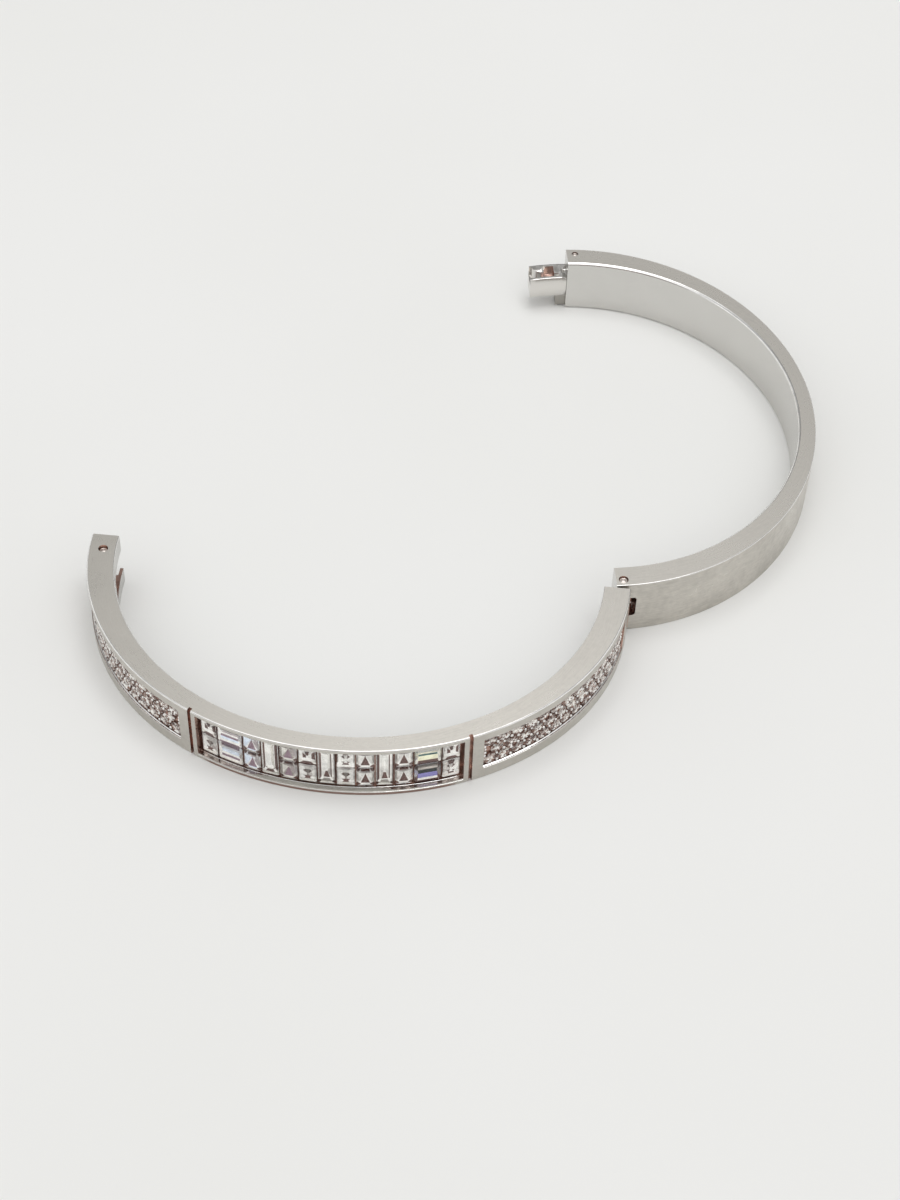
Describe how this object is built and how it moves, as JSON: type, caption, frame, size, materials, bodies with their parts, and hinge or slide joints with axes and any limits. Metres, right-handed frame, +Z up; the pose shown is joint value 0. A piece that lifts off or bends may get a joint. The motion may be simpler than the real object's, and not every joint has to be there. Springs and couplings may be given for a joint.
{
  "type": "bangle bracelet",
  "caption": "Oval hinged bangle lying on its edge, swung open: a channel of step-cut crystals between grooves, a pave field each side, and a sprung tongue clasp.",
  "frame": {"origin": "on the table under the middle of the open bangle's footprint", "axes": "+Z up along the hinge pin, from the edge that the bangle lies on to the other edge; +X along the front half's chord from the clasp end to the hinge; the decorated front faces -Y"},
  "size_m": [0.0834, 0.089, 0.0075],
  "materials": {
    "satin_steel": "fine satin brushing with polished edges",
    "bright_steel": "polished",
    "channel_crystal": "clear step-cut crystal, foil backed",
    "pave_crystal": "small round clear crystals held by beads"
  },
  "bodies": {
    "front_half": {"catch_pin": "bright_steel", "crystal_01_high": "channel_crystal", "crystal_01_low": "channel_crystal", "crystal_02_high": "channel_crystal", "crystal_02_low": "channel_crystal", "crystal_03_high": "channel_crystal", "crystal_03_low": "channel_crystal", "crystal_04": "channel_crystal", "crystal_05_high": "channel_crystal", "crystal_05_low": "channel_crystal", "crystal_06_high": "channel_crystal", "crystal_06_low": "channel_crystal", "crystal_07": "channel_crystal", "crystal_08_high": "channel_crystal", "crystal_08_low": "channel_crystal", "crystal_09_high": "channel_crystal", "crystal_09_low": "channel_crystal", "crystal_10": "channel_crystal", "crystal_11_high": "channel_crystal", "crystal_11_low": "channel_crystal", "crystal_12_high": "channel_crystal", "crystal_12_low": "channel_crystal", "crystal_13_high": "channel_crystal", "crystal_13_low": "channel_crystal", "front_band": "satin_steel", "pave_left": "pave_crystal", "pave_right": "pave_crystal"},
    "back_half": {"back_band": "satin_steel", "hinge_pin": "bright_steel", "tongue_pin": "bright_steel", "tongue_spring": "bright_steel"},
    "latch_tongue": {"clasp_tongue": "bright_steel"}
  },
  "joints": [
    {"name": "bangle_hinge", "type": "hinge", "parent": "front_half", "child": "back_half", "pos_m": [0.01938, -0.01588, 0], "axis": [0, 0, 1], "range_deg": [-5, 80.3]},
    {"name": "tongue_pivot", "type": "hinge", "parent": "back_half", "child": "latch_tongue", "pos_m": [0.01026, 0.04342, 0], "axis": [0, 0, 1], "range_deg": [-7.5, 0], "stiffness_Nm_per_rad": 0.005, "springref_deg": 5.73, "deforming": ["tongue_spring"]}
  ]
}
